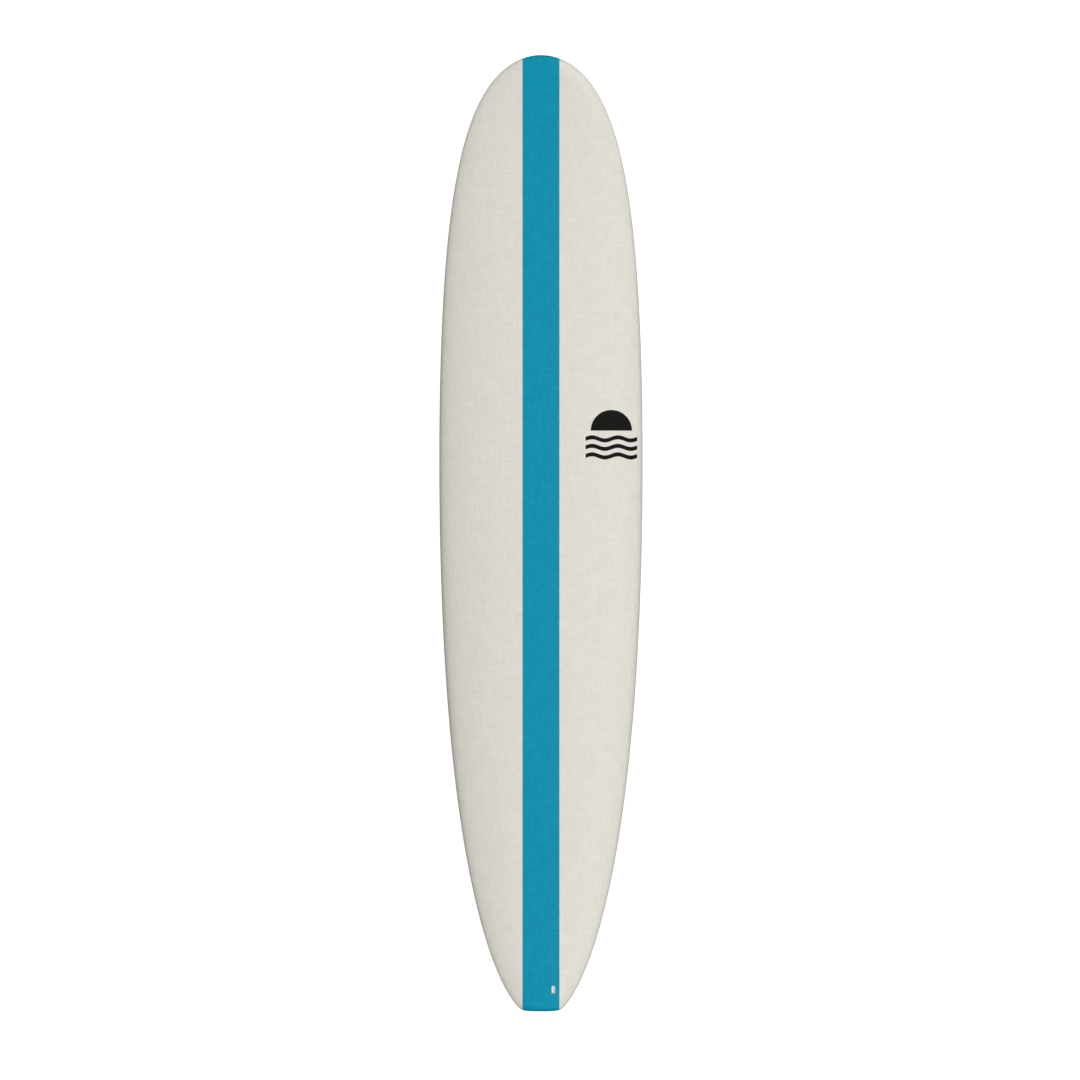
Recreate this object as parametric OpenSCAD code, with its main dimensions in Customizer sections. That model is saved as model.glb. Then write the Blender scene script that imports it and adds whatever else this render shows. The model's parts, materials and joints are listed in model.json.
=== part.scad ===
// Longboard surfboard: a foam core on a wooden stringer inside a laminated shell,
// with a full-length deck stripe, a leash plug and three removable fins.
//
// Frame: +Y points to the nose, +X to the right with the deck up, +Z out of the deck.
// Origin: on the bottom, on the centreline, at half length, where the bottom is flat.

/* [Board] */
// Length from the tail to the nose
board_length = 2743; // [2650:1:2850]
// Greatest width
board_width = 584; // [560:1:610]
// Thickness on the centreline at half length
board_thickness = 82; // [78:1:90]
// Height of the nose above the flat of the bottom
nose_rocker = 118; // [90:1:140]
// Height of the tail above the flat of the bottom
tail_rocker = 84; // [60:1:95]

/* [Deck] */
// Width of the coloured stripe
stripe_width = 106; // [90:1:120]
// Width and height of the printed mark
decal_size = 148; // [120:1:160]
// Distance from the centreline to the middle of the leash plug
leash_x = 35.6; // [33:0.1:38]
// Distance from the end of the tail to the middle of the leash plug
leash_from_tail = 63; // [60:1:68]

/* [Fins] */
// How far the centre fin stands out of the bottom
centre_fin_depth = 178; // [140:1:200]
// How far each side fin stands out of the bottom
side_fin_depth = 100; // [80:1:115]
// Outward lean of the side fins in degrees
side_fin_cant = 6; // [3:0.5:7]
// Turn of the side fins towards the centreline at the nose in degrees
side_fin_toe = 2; // [0:0.5:3]

/* [Hidden] */
$fn = 48;

half_length = board_length / 2;
half_width = board_width / 2;

// Outline, as [half width, distance from the tail], in three Bezier curves
wide_point = 0.576 * board_length;
tail_corner = [61, 8.4];
tail_corner_angle = 47;
tail_corner_reach = 109;  // length over which the corner's direction pulls the outline
nose_curve = [
    [half_width, wide_point],
    [half_width, wide_point + 0.337 * board_length],
    [0.692 * half_width, 0.9593 * board_length],
    [0.371 * half_width, board_length],
    [0, board_length],
];
tail_curve = [
    [half_width, wide_point],
    [half_width, wide_point - 0.4084 * board_length],
    tail_corner + tail_corner_reach * [sin(tail_corner_angle), cos(tail_corner_angle)],
    tail_corner,
];
end_curve = [
    tail_corner,
    [tail_corner.x - tail_corner.y * tan(tail_corner_angle), 0],
    [30, 0],
    [0, 0],
];

// Profile and section
bottom_flat_length = 320;
nose_flip = 2.6;          // power of the nose rocker: higher keeps more of the nose flat
tail_kick = 2.2;          // power of the curved part of the tail rocker
tail_curved = 0.58;       // share of the tail rocker's run that is curved: the rest is straight
foil_power = 2.2;         // power of the thickness run-out to nose and tail
nose_thickness = 21;
tail_thickness = 24;
tip_round = 14;           // length over which nose and tail round off
dome = 2.5;               // superellipse power of the deck's section
lookaround = 0.5;         // step over which slopes are measured

// Layers of the shell, as depths below the outer surface
skin = 1.5;
lap_outer = 1.65;
lap_inner = 2.05;
core_depth = 2.2;
film_low = 0.2;           // stripe and decal lie this far above the deck
film_high = 0.6;
glue = 0.1;               // between the foam halves and the stringer
fit_gap = 0.2;            // between the shell and what passes through it
stringer_width = 5;

// Cutters and corners
cut_out = 3;              // how far a cutter reaches out past the surface
cut_in = 6;               // how far a cutter reaches through the shell into the board
flange_corner = 4;
body_corner = 3;
mouth_corner = 2;
cavity_corner = 1;

// The stripe and the mark
stripe_tip_share = 0.9;   // share of the deck's width that the stripe takes at the tips
stripe_columns = 5;       // columns of the stripe on each side of its middle
decal_middle = [202, 1652 - half_length];
disc_rows = 16;
disc_columns = 3;         // columns of the disc on each side of its middle
wave_columns = 24;
wave_count = 3;
disc_r = 0.8;             // these six are shares of half the mark's size
disc_low = 0.2;
wave_thick = 0.16;
wave_height = 0.06;
first_wave = -0.12;
wave_step = -0.33;

// Mesh density
end_steps = 6;
tail_steps = 18;
nose_steps = 26;
deck_steps = 22;
rail_steps = 6;
flat_steps = 4;
lap_steps = 2;            // how many columns a rail lap reaches past the rail
patch_margin = 4;         // how many columns the deck patch stays clear of each rail
patch_nose_end = 30;      // the station where the deck patch ends

// Leash plug, in a frame on the deck with +Z out of it
leash_y = leash_from_tail - half_length;
mouth = [9.8, 21];
leash_cavity = [7.6, 18.8];
leash_barrel = [16, 28];
leash_flange = [26, 38];
leash_bed = [34, 46];
leash_flange_top = -2.4;
leash_flange_bottom = -4.4;
leash_floor = -12.5;
leash_bottom = -15;
leash_bed_bottom = -17.5;
leash_pin_z = -5.5;
leash_pin_r = 2;
leash_pin_length = 13;

// Centre fin box, in a frame on the bottom with +Z into the board and +Y to the nose
box_y = 244 - half_length;
box_flange = [26, 268];
box_body = [20, 262];
box_bed = [24, 266];
box_flange_depth = 2;
box_depth = 25;
box_bed_depth = 27;
slot = [9.7, 250];
slot_corner = 4.8;
slot_depth = 19.5;
groove_width = 15.8;
groove_low = 8;
groove_high = 12.6;
drop_in = [16, 17];
drop_in_y = 100;
groove_end = 3;           // the groove stops this far short of each end of the slot
bed_lip = 0.4;            // room in the bed under the flange

// Centre fin and its fastening, in the same frame
fin_base = 156;
fin_tab_width = 9.3;
fin_tab_depth = 18;
fin_root = 1;             // the blade starts this far inside the slot
tongue_length = 15;
tongue_low = 4.2;
tongue_high = 7.7;
screw_y = fin_base / 2 + 8;
screw_r = 2;
screw_head_r = 3.9;
screw_head_height = 2.6;
screw_length = 13.4;
screw_slot = [4.6, 1.1];  // each stroke of the cross in the head
screw_slot_depth = 1.6;
turn_gap = 0.05;          // play round a screw
press_gap = 0.01;         // play round a pin
pin_r = 1.6;
pin_length = 15.2;
pin_y = 12 - fin_base / 2;
pin_z = (groove_low + groove_high) / 2;
plate_size = [15.2, 11];
plate_low = 8.2;
plate_high = 11;

// Section and tip of a fin's blade
foil_fullness = 2.6;      // makes the thickest point of the section 1
tip_thinning = 0.6;       // share of the thickness lost from root to tip
tip_closing_power = 6;    // higher keeps the thickness further out before it closes
blade_spans = 16;
chord_steps = 12;

// Side fin boxes and fins, in frames on the bottom like the centre box
side_box_x = 150;
side_box_y = 388 - half_length;
side_flange = [20, 142];
side_body = [15, 136];
side_bed = [18, 139];
side_box_shift = 6;       // the body reaches further towards the nose, where its screw is
side_depth = 19;
side_bed_depth = 21;
side_slot = [7.2, 114];
side_slot_corner = 3.5;
side_slot_depth = 14;
side_base = 110;
side_tab = [6.8, 113];
side_tab_corner = 3.3;
side_tab_depth = 13.4;
side_thick = 6.6;
side_inner_share = 0.35;  // the inner face is this much as full as the outer
grub_r = 2.5;
grub_start = 2.6;
grub_length = 9;
grub_tilt = 45;
grub_y = 66.6;
grub_hole_length = 20;
socket_r = 1.45;
socket_depth = 3;

// ---- Curves and surfaces ----

// De Casteljau's rule for a Bezier curve of any degree
function bezier(p, t) =
    len(p) == 1 ? p[0] : bezier([for (i = [0:len(p) - 2]) p[i] * (1 - t) + p[i + 1] * t], t);

// [y, half width] from the tail to the nose, without the two end points
function station(p) = [p.y - half_length, p.x];
stations = [
    for (i = [1:end_steps]) station(bezier(end_curve, 1 - i / end_steps)),
    for (i = [1:tail_steps]) station(bezier(tail_curve, 1 - i / tail_steps)),
    for (i = [1:nose_steps - 1]) station(bezier(nose_curve, i / nose_steps)),
];
n_stations = len(stations);
outline = concat([[-half_length, 0]], stations, [[half_length, 0]]);
function half_width_at(y) = lookup(y, outline);

function kick(u) =
    u < tail_curved ? pow(u, tail_kick)
    : pow(tail_curved, tail_kick) + tail_kick * pow(tail_curved, tail_kick - 1) * (u - tail_curved);
function rocker(y) =
    let (u = max(0, abs(y) - bottom_flat_length / 2) / (half_length - bottom_flat_length / 2))
    y > 0 ? nose_rocker * pow(u, nose_flip) : tail_rocker * kick(u) / kick(1);
function thickness(y) =
    let (tip = y > 0 ? nose_thickness : tail_thickness)
    tip + (board_thickness - tip) * (1 - pow(abs(y) / half_length, foil_power));
function tip_closing(y) =
    let (s = half_length - abs(y))
    s >= tip_round ? 1 : sqrt(max(0, 1 - pow(1 - s / tip_round, 2)));
function rail_share(y) = 0.45 + 0.05 * y / half_length;
function flat_share(y) = 0.84 - 0.04 * y / half_length;
function rail_z(y) = rocker(y) + rail_share(y) * thickness(y);
function rise(y) = (1 - rail_share(y)) * thickness(y) * tip_closing(y);
function drop(y) = rail_share(y) * thickness(y) * tip_closing(y);
function bottom_z(y) = rail_z(y) - drop(y);
function deck_z(x, y) =
    let (u = min(1, abs(x) / half_width_at(y)))
    rail_z(y) + rise(y) * pow(1 - pow(u, dome), 1 / dome);

// One closed section: over the deck from the left rail, then back under the bottom
function deck_point(w, y, a) =
    [w * sign(cos(a)) * pow(abs(cos(a)), 2 / dome), y, rail_z(y) + rise(y) * pow(abs(sin(a)), 2 / dome)];
function rail_point(w, y, side, a) =
    [side * w * (flat_share(y) + (1 - flat_share(y)) * cos(a)), y, rail_z(y) - drop(y) * sin(a)];
function section(w, y) = [
    for (j = [0:deck_steps]) deck_point(w, y, 180 * (1 - j / deck_steps)),
    for (j = [1:rail_steps]) rail_point(w, y, 1, 90 * j / rail_steps),
    for (j = [1:flat_steps - 1]) [w * flat_share(y) * (1 - 2 * j / flat_steps), y, bottom_z(y)],
    for (j = [rail_steps:-1:1]) rail_point(w, y, -1, 90 * j / rail_steps),
];
sections = [for (s = stations) section(s[1], s[0])];
around = len(sections[0]);
tail_pole = [0, -half_length, rail_z(-half_length)];
nose_pole = [0, half_length, rail_z(half_length)];
deck_middle = deck_steps / 2;
bottom_middle = deck_steps + rail_steps + flat_steps / 2;

// Points of the outer surface moved straight inwards by a depth
function surface_point(i, j) =
    i < 0 ? tail_pole : i >= n_stations ? nose_pole : sections[i][(j + around) % around];
function inward(i, j) =
    let (n = cross(surface_point(i + 1, j) - surface_point(i - 1, j),
                   surface_point(i, j + 1) - surface_point(i, j - 1)))
    n / norm(n);
inwards = [for (i = [0:n_stations - 1]) [for (j = [0:around - 1]) inward(i, j)]];
function inset(i, j, d) =
    let (k = (j + around) % around)
    i < 0 ? tail_pole + [0, d, 0] : i >= n_stations ? nose_pole - [0, d, 0]
    : sections[i][k] + d * inwards[i][k];

// A solid through rings of equal length, leaving out faces that have shrunk to a line
module loft(rings, caps = []) {
    m = len(rings[0]);
    points = [for (r = rings) each r];
    faces = concat(caps, [
        for (i = [0:len(rings) - 2], j = [0:m - 1])
            let (a = i * m + j, b = i * m + (j + 1) % m)
            each [[a, b + m, b], [a, a + m, b + m]]
    ]);
    function solid(f) =
        points[f[0]] != points[f[1]] && points[f[1]] != points[f[2]] && points[f[2]] != points[f[0]];
    polyhedron(points, [for (f = faces) if (solid(f)) f], convexity = 10);
}

// A solid between an upper and a lower row of points at each step, with its ends closed
module ribbon(upper, lower) {
    n = len(upper[0]);
    rings = [for (i = [0:len(upper) - 1]) concat(upper[i], [for (k = [n - 1:-1:0]) lower[i][k]])];
    last = (len(rings) - 1) * 2 * n;
    start_cap = [
        for (k = [0:n - 2]) each [[k, k + 1, 2 * n - 1 - k], [k + 1, 2 * n - 2 - k, 2 * n - 1 - k]]
    ];
    end_cap = [for (f = start_cap) [f[0], f[2], f[1]] + last * [1, 1, 1]];
    loft(rings, concat(start_cap, end_cap));
}

// A layer of the shell between two depths, over some columns and stations of the sections
module shell(columns, outer, inner, from = -1, to = n_stations) {
    ribbon(
        [for (i = [from:to]) [for (j = columns) inset(i, j, outer)]],
        [for (i = [from:to]) [for (j = columns) inset(i, j, inner)]]);
}

// Half of the core, from the middle of the deck round one rail to the middle of the bottom
module half_core(side) {
    columns = side > 0 ? [deck_middle:bottom_middle] : [bottom_middle:around + deck_middle];
    inner_x = stringer_width / 2 + glue;
    loft([
        for (i = [-1:n_stations]) [
            for (j = columns) let (p = inset(i, j, core_depth)) [side * max(inner_x, side * p.x), p.y, p.z]
        ]
    ]);
}

// A film on the deck through rows of [x, y]
function deck_normal(x, y) =
    let (e = lookaround,
         n = [deck_z(x - e, y) - deck_z(x + e, y), deck_z(x, y - e) - deck_z(x, y + e), 2 * e])
    n / norm(n);
function over_deck(p, h) = [p.x, p.y, deck_z(p.x, p.y)] + h * deck_normal(p.x, p.y);
module deck_film(rows) {
    ribbon([for (r = rows) [for (p = r) over_deck(p, film_high)]],
           [for (r = rows) [for (p = r) over_deck(p, film_low)]]);
}

// ---- Frames on the board ----

module on_deck(x, y) {
    n = deck_normal(x, y);
    translate([x, y, deck_z(x, y)]) rotate([-asin(n.y), asin(n.x), 0]) children();
}

module under_bottom(x, y, toe = 0) {
    translate([x, y, bottom_z(y)])
        rotate([atan((bottom_z(y + lookaround) - bottom_z(y - lookaround)) / (2 * lookaround)), 0, 0])
            rotate([0, 0, toe]) children();
}

module at_leash() { on_deck(leash_x, leash_y) children(); }
module at_box() { under_bottom(0, box_y) children(); }
module at_side(side) {
    under_bottom(side * side_box_x, side_box_y, side * side_fin_toe)
        mirror([side < 0 ? 1 : 0, 0, 0]) children();
}
module canted() { rotate([0, -side_fin_cant, 0]) children(); }

// ---- Small shapes ----

// A block with rounded corners, given as [width, length]
module rounded(size, low, high, r = 3, y = 0) {
    translate([0, y, low]) linear_extrude(high - low) union() {
        square(size - [2 * r, 0], center = true);
        square(size - [0, 2 * r], center = true);
        for (sx = [-1, 1], sy = [-1, 1])
            translate([sx * (size.x / 2 - r), sy * (size.y / 2 - r)]) circle(r);
    }
}

// The same footprint with the gap between the shell and what passes through it
function opening(size) = size + 2 * fit_gap * [1, 1];

module block(size, low, high, y = 0) {
    translate([-size.x / 2, y - size.y / 2, low]) cube([size.x, size.y, high - low]);
}

module across(r, length) {
    translate([-length / 2, 0, 0]) rotate([0, 90, 0]) cylinder(r = r, h = length);
}

// ---- Shell and core ----

module deck_skin() {
    color("ivory") difference() {
        shell([0:deck_steps], 0, skin);
        at_leash() rounded(opening(mouth), -cut_in, cut_out, mouth_corner);
    }
}

module bottom_skin() {
    color("ivory") difference() {
        shell([deck_steps:around], 0, skin);
        box_openings();
    }
}

// Room for the flanges of the three fin boxes, down to a depth
module box_openings(depth = cut_in) {
    at_box() rounded(opening(box_flange), -cut_out, depth, flange_corner);
    for (side = [-1, 1])
        at_side(side) rounded(opening(side_flange), -cut_out, depth, flange_corner, side_box_shift);
}

module rail_lap(seam) {
    color("oldlace") shell([seam - lap_steps:seam + lap_steps], lap_outer, lap_inner);
}

module deck_patch() {
    color("oldlace") difference() {
        shell([patch_margin:deck_steps - patch_margin], lap_outer, lap_inner, 2, patch_nose_end);
        at_leash() rounded(leash_bed, -cut_in, cut_out, flange_corner);
    }
}

// Room in the core for the beds and the flanges
module core_cavities() {
    at_leash() rounded(leash_bed, leash_bed_bottom, cut_out, flange_corner);
    at_box() rounded(box_bed, -cut_out, box_bed_depth, body_corner);
    for (side = [-1, 1])
        at_side(side) rounded(side_bed, -cut_out, side_bed_depth, body_corner, side_box_shift);
    box_openings(box_flange_depth + bed_lip);
}

module foam_core(side) {
    color("whitesmoke") difference() {
        half_core(side);
        core_cavities();
    }
}

module stringer() {
    profile = concat(
        [for (i = [-1:n_stations]) let (p = inset(i, deck_middle, core_depth)) [p.y, p.z]],
        [for (i = [n_stations - 1:-1:0]) let (p = inset(i, bottom_middle, core_depth)) [p.y, p.z]]);
    color("tan") difference() {
        translate([-stringer_width / 2, 0, 0])
            rotate([90, 0, 90]) linear_extrude(stringer_width) polygon(profile);
        at_box() rounded(box_bed, -cut_out, box_bed_depth, body_corner);
        at_box() rounded(opening(box_flange), -cut_out, box_flange_depth + bed_lip, flange_corner);
    }
}

// ---- On the deck ----

module deck_stripe() {
    color("#188eac") difference() {
        deck_film([
            for (s = stations)
                let (w = min(stripe_width / 2, stripe_tip_share * s[1]), n = stripe_columns)
                [for (k = [-n:n]) [w * sin(90 * k / n), s[0]]]
        ]);
        at_leash() rounded(opening(mouth), -cut_out, cut_out, mouth_corner);
    }
}

// A generic mark: a half disc over waves
module deck_decal() {
    r = decal_size / 2;
    color("#1c1c1a") {
        half_disc(disc_r * r, disc_low * r);
        for (band = [0:wave_count - 1])
            wave_band(r, wave_thick * r, wave_height * r, (first_wave + wave_step * band) * r);
    }
}

module half_disc(radius, y_low) {
    deck_film([
        for (i = [0:disc_rows - 1])
            let (y = radius * sin(90 * (i + 0.5) / disc_rows), w = sqrt(radius * radius - y * y))
            [for (k = [-disc_columns:disc_columns]) decal_middle + [w * k / disc_columns, y + y_low]]
    ]);
}

// Two periods of a wave, from -reach to reach
module wave_band(reach, thick, height, y_middle) {
    deck_film([
        for (edge = [-1, 1]) [
            for (k = [0:wave_columns])
                let (turn = 720 * k / wave_columns, x = reach * (2 * k / wave_columns - 1))
                decal_middle + [x, y_middle + edge * thick / 2 + height * sin(turn)]
        ]
    ]);
}

// ---- Leash plug ----

module leash_plug_cup() {
    color("white") at_leash() difference() {
        union() {
            rounded(leash_barrel, leash_bottom, leash_flange_top, flange_corner);
            rounded(leash_flange, leash_flange_bottom, leash_flange_top, flange_corner);
            rounded(mouth, leash_flange_bottom, film_high, mouth_corner);
        }
        rounded(leash_cavity, leash_floor, cut_out, cavity_corner);
        translate([0, 0, leash_pin_z]) across(leash_pin_r + press_gap, leash_pin_length);
    }
}

module leash_plug_pin() {
    color("silver") at_leash() translate([0, 0, leash_pin_z]) across(leash_pin_r, leash_pin_length);
}

module leash_plug_bed() {
    color("beige") at_leash() difference() {
        rounded(leash_bed, leash_bed_bottom, leash_flange_top, flange_corner);
        rounded(leash_barrel, leash_bottom, cut_out, flange_corner);
        rounded(leash_flange, leash_flange_bottom, cut_out, flange_corner);
    }
}

// ---- Centre fin ----

module centre_fin_box() {
    color("#202124") at_box() difference() {
        union() {
            rounded(box_flange, 0, box_flange_depth, flange_corner);
            rounded(box_body, box_flange_depth / 2, box_depth, body_corner);
        }
        rounded(slot, -cut_out, slot_depth, slot_corner);
        block([groove_width, slot.y - 2 * groove_end], groove_low, groove_high);
        block(drop_in, -cut_out, groove_high, drop_in_y);
    }
}

module centre_fin_box_bed() {
    color("beige") at_box() difference() {
        rounded(box_bed, box_flange_depth, box_bed_depth, body_corner);
        rounded(box_body, -cut_out, box_depth, body_corner);
        rounded(opening(box_flange), -cut_out, box_flange_depth + bed_lip, flange_corner);
    }
}

// Blade of a fin: every chord runs straight from the leading to the trailing edge,
// and the section is thickest a third of the way back
function foil(c) = foil_fullness * sqrt(c) * (1 - c);
module blade(lead, trail, thick, inner_share = 1) {
    tip = lead[len(lead) - 1];
    chord = [for (k = [0:chord_steps]) (1 - cos(180 * k / chord_steps)) / 2];
    function half(t, c) =
        thick / 2 * (1 - tip_thinning * t) * sqrt(1 - pow(t, tip_closing_power)) * foil(c);
    function at(t, c, x) = let (p = bezier(lead, t) * (1 - c) + bezier(trail, t) * c) [x, p.x, p.y];
    function ring(t) = concat(
        [for (k = [0:chord_steps]) at(t, chord[k], half(t, chord[k]))],
        [for (k = [chord_steps - 1:-1:1]) at(t, chord[k], -inner_share * half(t, chord[k]))]);
    closed_tip = [for (k = [1:2 * chord_steps]) [0, tip.x, tip.y]];
    root_cap = [for (k = [0:2 * chord_steps - 1]) k];
    loft(concat([for (i = [0:blade_spans - 1]) ring(i / blade_spans)], [closed_tip]), [root_cap]);
}

module centre_fin() {
    b = fin_base / 2;
    d = centre_fin_depth;
    tip = [-1.3 * b, -d];
    lead = [[b, fin_root], [0.62 * b, -0.42 * d], [-0.16 * b, -d], tip];
    trail = [[-b, fin_root], [-0.7 * b, -0.22 * d], [-0.72 * b, -0.62 * d], [-1.62 * b, -d], tip];
    color("#202124") at_box() difference() {
        union() {
            blade(lead, trail, fin_tab_width);
            block([fin_tab_width, fin_base], fin_root / 2, fin_tab_depth);
            block([fin_tab_width, tongue_length + 2], tongue_low, tongue_high, b + tongue_length / 2 - 1);
        }
        translate([0, pin_y, pin_z]) across(pin_r + press_gap, fin_tab_width + 2);
        translate([0, screw_y, tongue_low - 1])
            cylinder(r = screw_r + turn_gap, h = tongue_high - tongue_low + 2);
    }
}

module centre_fin_cross_pin() {
    color("silver") at_box() translate([0, pin_y, pin_z]) across(pin_r, pin_length);
}

module centre_fin_screw() {
    color("silver") at_box() translate([0, screw_y, tongue_low]) difference() {
        union() {
            cylinder(r = screw_r, h = screw_length);
            translate([0, 0, -screw_head_height]) cylinder(r = screw_head_r, h = screw_head_height);
        }
        for (turn = [0, 90])
            rotate([0, 0, turn])
                block(screw_slot, -screw_head_height - 1, screw_slot_depth - screw_head_height);
    }
}

module centre_fin_plate() {
    color("goldenrod") at_box() translate([0, screw_y, 0]) difference() {
        block(plate_size, plate_low, plate_high);
        translate([0, 0, plate_low - 1]) cylinder(r = screw_r + turn_gap, h = plate_high - plate_low + 2);
    }
}

// ---- Side fins ----

module grub_axis() { translate([0, grub_y, 0]) rotate([grub_tilt, 0, 0]) children(); }

module side_fin_box(side) {
    color("#202124") at_side(side) difference() {
        union() {
            rounded(side_flange, 0, box_flange_depth, flange_corner, side_box_shift);
            rounded(side_body, box_flange_depth / 2, side_depth, body_corner, side_box_shift);
        }
        canted() rounded(side_slot, -cut_out, side_slot_depth, side_slot_corner);
        grub_axis() translate([0, 0, -cut_in]) cylinder(r = grub_r + turn_gap, h = grub_hole_length);
    }
}

module side_fin_box_bed(side) {
    color("beige") at_side(side) difference() {
        rounded(side_bed, box_flange_depth, side_bed_depth, body_corner, side_box_shift);
        rounded(side_body, -cut_out, side_depth, body_corner, side_box_shift);
        rounded(opening(side_flange), -cut_out, box_flange_depth + bed_lip, flange_corner, side_box_shift);
    }
}

module side_fin(side) {
    b = side_base / 2;
    d = side_fin_depth;
    tip = [-1.18 * b, -d];
    lead = [[b, fin_root], [0.66 * b, -0.42 * d], [-0.12 * b, -d], tip];
    trail = [[-b, fin_root], [-0.74 * b, -0.2 * d], [-0.86 * b, -0.66 * d], [-1.5 * b, -d], tip];
    color("#202124") at_side(side) canted() union() {
        blade(lead, trail, side_thick, side_inner_share);
        rounded(side_tab, fin_root / 2, side_tab_depth, side_tab_corner);
    }
}

module side_fin_screw(side) {
    color("silver") at_side(side) grub_axis() translate([0, 0, grub_start]) difference() {
        cylinder(r = grub_r, h = grub_length);
        translate([0, 0, -1]) cylinder(r = socket_r, h = socket_depth + 1, $fn = 6);
    }
}

deck_skin();
bottom_skin();
rail_lap(0);  // rail_lap_left
rail_lap(deck_steps);  // rail_lap_right
deck_patch();
foam_core(-1);  // foam_core_left
foam_core(1);  // foam_core_right
stringer();
deck_stripe();
deck_decal();
leash_plug_cup();
leash_plug_pin();
leash_plug_bed();
centre_fin_box();
centre_fin_box_bed();
centre_fin();
centre_fin_cross_pin();
centre_fin_screw();
centre_fin_plate();
side_fin_box(-1);  // side_fin_box_left
side_fin_box(1);  // side_fin_box_right
side_fin_box_bed(-1);  // side_fin_box_bed_left
side_fin_box_bed(1);  // side_fin_box_bed_right
side_fin(-1);  // side_fin_left
side_fin(1);  // side_fin_right
side_fin_screw(-1);  // side_fin_screw_left
side_fin_screw(1);  // side_fin_screw_right
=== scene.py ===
"""A longboard surfboard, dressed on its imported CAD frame.

The laminates, stripe, mark, plug cup, fins and screws are rebuilt as finer shapes over the CAD solids that
they stand for, and everything else is the CAD node with a better material. Lengths are in metres.
"""

import json
import math

import bmesh
import bpy
import numpy as np
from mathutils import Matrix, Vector
from mathutils.kdtree import KDTree


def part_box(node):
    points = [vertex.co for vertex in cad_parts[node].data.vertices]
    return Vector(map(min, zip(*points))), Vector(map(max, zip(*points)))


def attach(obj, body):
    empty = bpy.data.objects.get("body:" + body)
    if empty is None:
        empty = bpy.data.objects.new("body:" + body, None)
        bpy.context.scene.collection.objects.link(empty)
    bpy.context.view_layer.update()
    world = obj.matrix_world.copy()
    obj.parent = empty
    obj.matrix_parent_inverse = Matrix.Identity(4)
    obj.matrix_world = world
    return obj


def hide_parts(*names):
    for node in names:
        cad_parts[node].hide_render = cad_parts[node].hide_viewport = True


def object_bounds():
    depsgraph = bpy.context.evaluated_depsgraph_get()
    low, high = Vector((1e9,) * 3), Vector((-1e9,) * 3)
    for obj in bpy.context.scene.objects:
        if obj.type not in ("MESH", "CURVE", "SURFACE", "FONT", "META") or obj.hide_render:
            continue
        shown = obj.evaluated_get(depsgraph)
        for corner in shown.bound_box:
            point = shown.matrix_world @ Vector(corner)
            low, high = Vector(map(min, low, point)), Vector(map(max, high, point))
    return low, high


MM = 0.001

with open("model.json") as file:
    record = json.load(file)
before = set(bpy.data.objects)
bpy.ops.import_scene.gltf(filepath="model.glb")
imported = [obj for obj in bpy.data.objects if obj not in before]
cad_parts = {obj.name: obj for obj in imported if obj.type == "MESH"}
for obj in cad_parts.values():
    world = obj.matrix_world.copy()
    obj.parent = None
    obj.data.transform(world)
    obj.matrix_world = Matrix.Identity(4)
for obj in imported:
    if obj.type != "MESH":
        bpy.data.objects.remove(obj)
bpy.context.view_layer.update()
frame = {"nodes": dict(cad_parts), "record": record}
joints = {joint["name"]: joint for joint in frame["record"]["behaviour"]["joints"]}


# ---- The board's surface: the same curves as the CAD model, with its sizes taken from the frame ----

def vertices_of(node):
    mesh = frame["nodes"][node].data
    flat = np.empty(len(mesh.vertices) * 3)
    mesh.vertices.foreach_get("co", flat)
    return flat.reshape(-1, 3)


deck_points = vertices_of("deck_skin")
HALF_LENGTH = float(deck_points[:, 1].max())
HALF_WIDTH = float(deck_points[:, 0].max())
NOSE_TIP_Z = float(deck_points[np.argmax(deck_points[:, 1]), 2])
TAIL_TIP_Z = float(deck_points[np.argmin(deck_points[:, 1]), 2])

# The outline's points are in metres at the tail's corner, and elsewhere in shares of the board's length or,
# for the first number of NOSE_SHOULDER and for NOSE_END_REACH, of its half width
TAIL_CORNER = (0.061, 0.0084)
TAIL_CORNER_ANGLE = math.radians(47)
TAIL_CORNER_REACH = 0.109
TAIL_END_REACH = 0.030
WIDE_POINT = 0.576
TAIL_REACH = 0.4084
NOSE_REACH = 0.337
NOSE_SHOULDER = (0.692, 0.9593)
NOSE_END_REACH = 0.371
BOTTOM_FLAT = 0.320
NOSE_FLIP = 2.6
TAIL_KICK = 2.2
TAIL_CURVED = 0.58
FOIL_POWER = 2.2
NOSE_THICKNESS = 0.021
TAIL_THICKNESS = 0.024
TIP_ROUND = 0.014
DOME = 2.5
RAIL_SHARE = (0.45, 0.05)
FLAT_SHARE = (0.84, -0.04)
SKIN = 0.0015


def rail_share(y):
    """The share of the thickness below the rail's widest line."""
    return RAIL_SHARE[0] + RAIL_SHARE[1] * y / HALF_LENGTH


def flat_share(y):
    """The share of the width that is flat under the board."""
    return FLAT_SHARE[0] + FLAT_SHARE[1] * y / HALF_LENGTH


def middle_thickness():
    """The board's thickness at half length, from the nearest station, where the bottom is still flat."""
    centreline = deck_points[np.abs(deck_points[:, 0]) < 1e-5]
    nearest = np.abs(centreline[:, 1]).min()
    y, z = max(((p[1], p[2]) for p in centreline if abs(p[1]) < nearest + 1e-4), key=lambda p: p[1])
    tip = NOSE_THICKNESS if y > 0 else TAIL_THICKNESS
    return float(tip + (z - tip) / (1 - (abs(y) / HALF_LENGTH) ** FOIL_POWER))


THICKNESS = middle_thickness()
NOSE_ROCKER = NOSE_TIP_Z - rail_share(HALF_LENGTH) * NOSE_THICKNESS
TAIL_ROCKER = TAIL_TIP_Z - rail_share(-HALF_LENGTH) * TAIL_THICKNESS


def bezier(points, t):
    points = [np.asarray(p, float) for p in points]
    t = np.asarray(t, float)[..., None]
    while len(points) > 1:
        points = [a * (1 - t) + b * t for a, b in zip(points, points[1:])]
    return points[0]


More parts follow.
